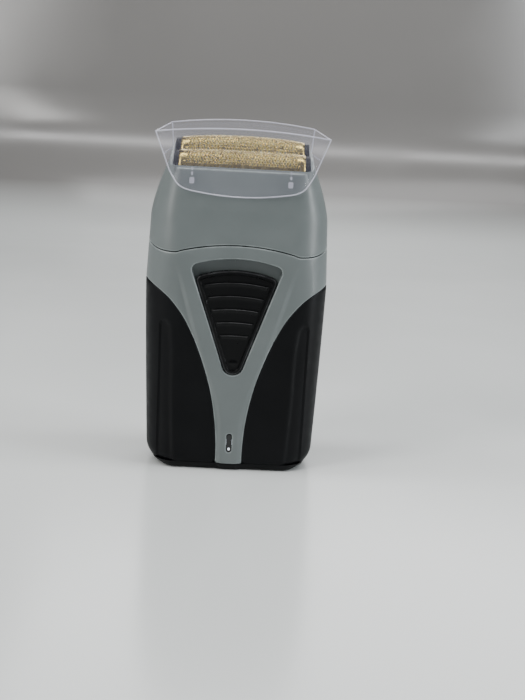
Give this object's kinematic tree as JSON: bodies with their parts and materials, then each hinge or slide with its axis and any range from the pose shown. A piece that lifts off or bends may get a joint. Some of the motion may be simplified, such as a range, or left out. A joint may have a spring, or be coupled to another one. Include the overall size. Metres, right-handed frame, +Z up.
{
  "type": "twin foil shaver",
  "caption": "Cordless twin-foil shaver with a V-shaped slide switch, side grips, lift-off foil head, counter-moving sprung cutters and clear protective cap.",
  "frame": {"origin": "middle of the base, on the surface the shaver stands on", "axes": "+Z up along the body to the head, -Y the front with the switch, +X to the right of someone looking at the front"},
  "size_m": [0.06, 0.03, 0.1151],
  "materials": {
    "grey_shell": "satin grey moulding",
    "black_grip": "matt soft-touch",
    "black_plastic": "matt",
    "dark_plastic": "matt",
    "switch_black": "semi-gloss",
    "smoked_lens": "polished smoke tint",
    "seal_rubber": "matt",
    "screw_steel": "zinc plated",
    "motor_steel": "plated",
    "blade_steel": "ground",
    "magnet": "sintered",
    "bronze": "turned",
    "white_plastic": "low-friction moulding",
    "cell_wrap": "shrink wrap",
    "board": "solder mask",
    "led": "clear epoxy",
    "lead_red": "insulation",
    "gold_foil": "plated perforated foil",
    "clear_cap": "clear polished"
  },
  "bodies": {
    "body": {"front_shell": "grey_shell", "rear_shell": "grey_shell", "left_grip": "black_grip", "right_grip": "black_grip", "base_cap": "black_plastic", "indicator_lens": "smoked_lens", "chassis": "black_plastic", "drive_deck": "black_plastic", "deck_seal": "seal_rubber", "shaft_seal": "seal_rubber", "deck_screws": "screw_steel", "shell_screws": "screw_steel", "base_screws": "screw_steel", "motor_can": "motor_steel", "motor_magnets": "magnet", "motor_bearings": "bronze", "motor_end_cap": "black_plastic", "motor_terminals": "bronze", "motor_screws": "screw_steel", "battery_cell": "cell_wrap", "battery_tabs": "motor_steel", "circuit_board": "board", "slide_switch": "motor_steel", "indicator_led": "led", "charge_jack": "black_plastic", "jack_pin": "bronze", "motor_leads": "lead_red", "battery_leads": "lead_red"},
    "rotor": {"motor_shaft": "motor_steel", "motor_armature": "magnet", "eccentric": "white_plastic"},
    "front_slide": {"front_drive": "white_plastic", "front_springs": "blade_steel"},
    "rear_slide": {"rear_drive": "white_plastic", "rear_springs": "blade_steel"},
    "front_cutter": {"front_carrier": "dark_plastic", "front_blades": "blade_steel"},
    "rear_cutter": {"rear_carrier": "dark_plastic", "rear_blades": "blade_steel"},
    "switch": {"switch_button": "switch_black", "switch_slider": "black_plastic", "switch_lever": "black_plastic"},
    "head": {"head_housing": "grey_shell", "foil_frame": "black_plastic", "front_foil": "gold_foil", "rear_foil": "gold_foil"},
    "cap": {"protective_cap": "clear_cap"}
  },
  "joints": [
    {"name": "cap_lift", "type": "slide", "parent": "head", "child": "cap", "axis": [0, 0, 1], "range_m": [0, 0.04]},
    {"name": "head_lift", "type": "slide", "parent": "body", "child": "head", "axis": [0, 0, 1], "range_m": [0, 0.032]},
    {"name": "switch_slide", "type": "slide", "parent": "body", "child": "switch", "axis": [0, 0, 1], "range_m": [0, 0.0035]},
    {"name": "motor_spin", "type": "hinge", "parent": "body", "child": "rotor", "pos_m": [0, 0.002, 0.06], "axis": [0, 0, 1], "continuous": true},
    {"name": "front_stroke", "type": "slide", "parent": "body", "child": "front_slide", "axis": [1, 0, 0], "range_m": [-0.001, 0.001]},
    {"name": "rear_stroke", "type": "slide", "parent": "body", "child": "rear_slide", "axis": [1, 0, 0], "range_m": [-0.001, 0.001]},
    {"name": "front_float", "type": "slide", "parent": "front_slide", "child": "front_cutter", "axis": [0, 0, 1], "range_m": [-0.001, 0], "stiffness_N_per_m": 250, "springref_m": 0.001, "deforming": ["front_springs"]},
    {"name": "rear_float", "type": "slide", "parent": "rear_slide", "child": "rear_cutter", "axis": [0, 0, 1], "range_m": [-0.001, 0], "stiffness_N_per_m": 250, "springref_m": 0.001, "deforming": ["rear_springs"]}
  ],
  "couplings": [
    {"joint": "rear_stroke", "follows": "front_stroke", "ratio": -1}
  ]
}
